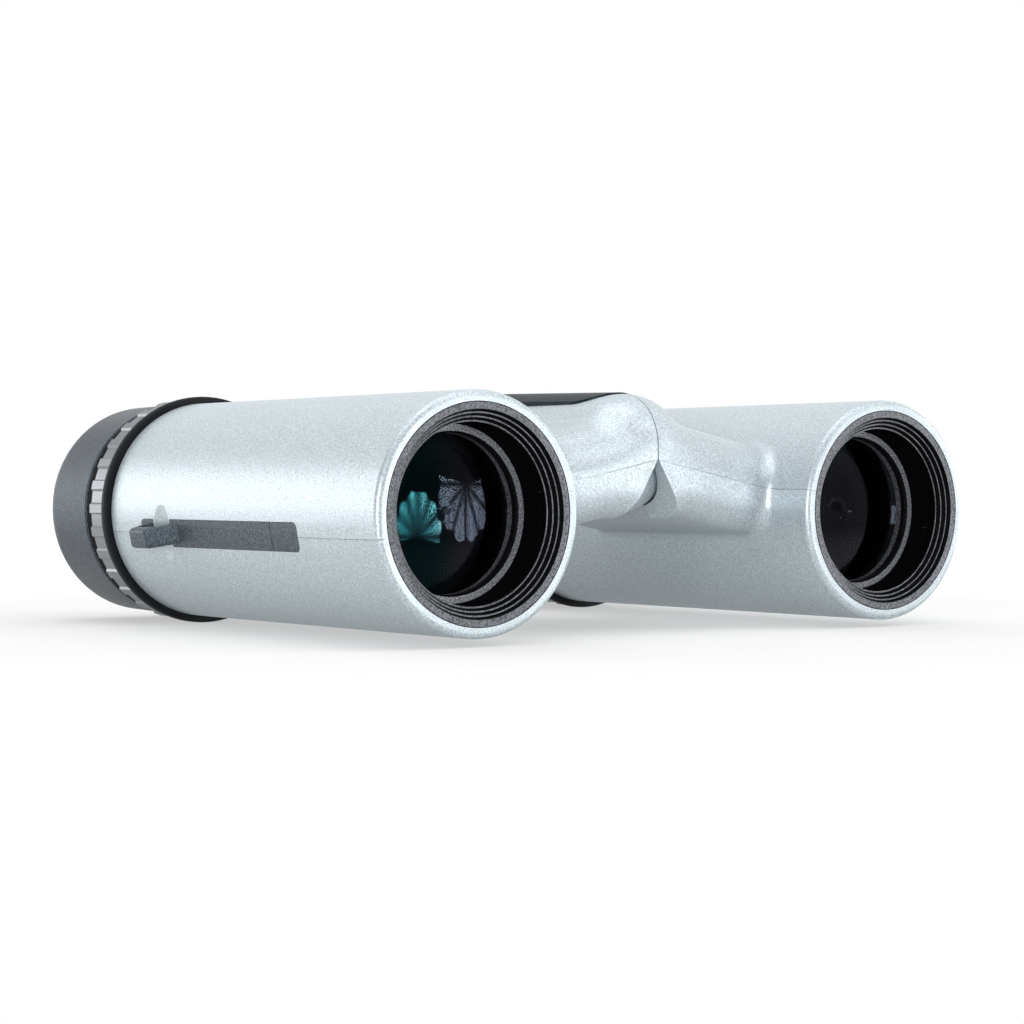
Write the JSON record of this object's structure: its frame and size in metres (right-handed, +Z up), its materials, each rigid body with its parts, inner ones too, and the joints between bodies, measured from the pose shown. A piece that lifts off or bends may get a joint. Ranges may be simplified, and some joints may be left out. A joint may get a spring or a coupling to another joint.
{
  "type": "binoculars",
  "caption": "Compact folding roof-prism binoculars: plain round silver barrels on a single central hinge, with focus wheel, diopter ring, twist-up eyecups and strap bars.",
  "frame": {"origin": "under the middle of the whole object, on the surface that the two barrels lie on", "axes": "+X to the user's right, across the barrels; +Y forward through the objectives; +Z up"},
  "size_m": [0.1096, 0.09, 0.0334],
  "materials": {
    "silver_paint": "satin metallic silver-white paint",
    "matte_black": "fine-textured charcoal plastic",
    "gloss_black": "polished black plastic with a metal-bright ribbed band",
    "panel_black": "satin black plastic",
    "eyecup_rubber": "fine-grained soft charcoal rubber",
    "black_anodised": "black anodised",
    "steel": "turned steel",
    "brass_thread": "turned brass",
    "coated_glass": "coated optical glass",
    "prism_glass": "polished optical glass"
  },
  "bodies": {
    "right_half": {"right_upper_shell": "silver_paint", "right_lower_shell": "silver_paint", "right_hinge_plates": "black_anodised", "right_shell_screws": "steel", "right_objective_bezel": "matte_black", "right_prism_cage": "matte_black", "right_half_penta_prism": "prism_glass", "right_roof_prism": "prism_glass", "right_eyepiece_tube": "black_anodised", "right_strap_bar": "matte_black", "hinge_shaft": "steel", "hinge_washer": "steel", "hinge_nut": "steel", "hinge_dome": "silver_paint", "top_panel": "panel_black"},
    "left_half": {"left_upper_shell": "silver_paint", "left_lower_shell": "silver_paint", "left_hinge_plates": "black_anodised", "left_shell_screws": "steel", "left_objective_bezel": "matte_black", "left_prism_cage": "matte_black", "left_half_penta_prism": "prism_glass", "left_roof_prism": "prism_glass", "left_eyepiece_tube": "black_anodised", "left_strap_bar": "matte_black", "left_ocular_cell": "black_anodised", "left_field_lens": "coated_glass", "left_eye_lens": "coated_glass", "left_collar_ring": "gloss_black"},
    "focus_drive": {"focus_wheel": "black_anodised", "focus_wheel_cap": "panel_black", "focus_screw": "brass_thread"},
    "right_objective": {"right_objective_cell": "matte_black", "right_objective_lens": "coated_glass", "right_objective_retainer": "black_anodised", "right_focus_arm": "black_anodised", "focus_nut": "brass_thread"},
    "left_objective": {"left_objective_cell": "matte_black", "left_objective_lens": "coated_glass", "left_objective_retainer": "black_anodised", "left_focus_arm": "black_anodised"},
    "diopter_ring": {"right_diopter_ring": "gloss_black"},
    "right_ocular": {"right_ocular_cell": "black_anodised", "right_field_lens": "coated_glass", "right_eye_lens": "coated_glass", "diopter_pin": "steel"},
    "right_eyecup_slider": {"right_eyecup_sleeve": "black_anodised"},
    "right_eyecup_cup": {"right_eyecup": "eyecup_rubber"},
    "left_eyecup_slider": {"left_eyecup_sleeve": "black_anodised"},
    "left_eyecup_cup": {"left_eyecup": "eyecup_rubber"}
  },
  "joints": [
    {"name": "interpupillary_fold", "type": "hinge", "parent": "right_half", "child": "left_half", "pos_m": [0, 0, 0.0235], "axis": [0, -1, 0], "range_deg": [0, 56]},
    {"name": "focus_turn", "type": "hinge", "parent": "right_half", "child": "focus_drive", "pos_m": [0, 0, 0.0235], "axis": [0, 1, 0], "range_deg": [-180, 180]},
    {"name": "right_objective_slide", "type": "slide", "parent": "right_half", "child": "right_objective", "axis": [0, 1, 0], "range_m": [-0.0015, 0.0015]},
    {"name": "left_objective_slide", "type": "slide", "parent": "left_half", "child": "left_objective", "axis": [0, 1, 0], "range_m": [-0.0015, 0.0015]},
    {"name": "diopter_turn", "type": "hinge", "parent": "right_half", "child": "diopter_ring", "pos_m": [0.0355, 0, 0.0165], "axis": [0, 1, 0], "range_deg": [-40, 40]},
    {"name": "right_ocular_slide", "type": "slide", "parent": "right_half", "child": "right_ocular", "axis": [0, 1, 0], "range_m": [-0.001, 0.001]},
    {"name": "right_eyecup_rise", "type": "slide", "parent": "right_half", "child": "right_eyecup_slider", "axis": [0, -1, 0], "range_m": [0, 0.006]},
    {"name": "right_eyecup_twist", "type": "hinge", "parent": "right_eyecup_slider", "child": "right_eyecup_cup", "pos_m": [0.0355, 0, 0.0165], "axis": [0, -1, 0], "range_deg": [0, 120]},
    {"name": "left_eyecup_rise", "type": "slide", "parent": "left_half", "child": "left_eyecup_slider", "axis": [0, -1, 0], "range_m": [0, 0.006]},
    {"name": "left_eyecup_twist", "type": "hinge", "parent": "left_eyecup_slider", "child": "left_eyecup_cup", "pos_m": [-0.0355, 0, 0.0165], "axis": [0, -1, 0], "range_deg": [0, 120]}
  ],
  "couplings": [
    {"joint": "right_objective_slide", "follows": "focus_turn", "m_per_rad": 0.000477},
    {"joint": "left_objective_slide", "follows": "focus_turn", "m_per_rad": 0.000477},
    {"joint": "right_ocular_slide", "follows": "diopter_turn", "m_per_rad": 0.0014},
    {"joint": "right_eyecup_rise", "follows": "right_eyecup_twist", "m_per_rad": 0.002864},
    {"joint": "left_eyecup_rise", "follows": "left_eyecup_twist", "m_per_rad": 0.002864}
  ]
}
